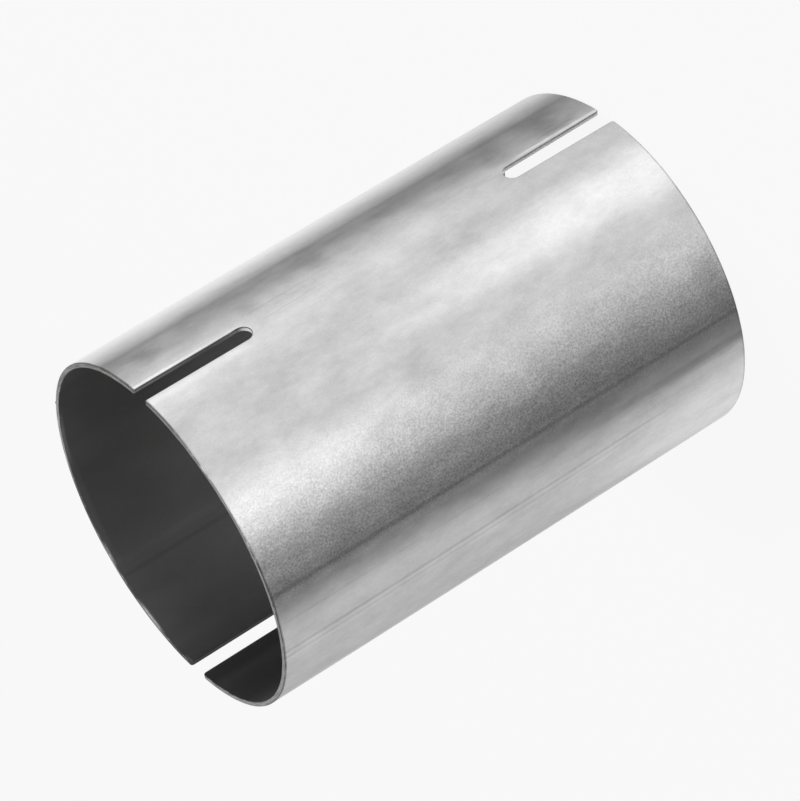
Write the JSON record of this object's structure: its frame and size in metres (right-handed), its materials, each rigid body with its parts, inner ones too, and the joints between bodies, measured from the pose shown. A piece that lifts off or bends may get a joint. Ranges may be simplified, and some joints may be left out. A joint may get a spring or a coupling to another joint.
{
  "type": "slotted pipe splice sleeve",
  "caption": "Plain steel sleeve that slips over the butted ends of two pipes, slotted at both ends so that band clamps can close it on them.",
  "frame": {"origin": "middle of the lower rim, on the sleeve's axis, where the standing sleeve meets the floor", "axes": "+Z along the sleeve's axis, up out of the upper end; +X and -X through the middle of the slots of both ends; the lengthwise weld is 73.8 degrees round from +X towards -Y"},
  "size_m": [0.1314, 0.1314, 0.197],
  "materials": {
    "bare_steel": "bright mill-finish sheet with a faint lengthwise grain, ground along the weld"
  },
  "bodies": {
    "root": {"splice_sleeve": "bare_steel"}
  },
  "joints": []
}
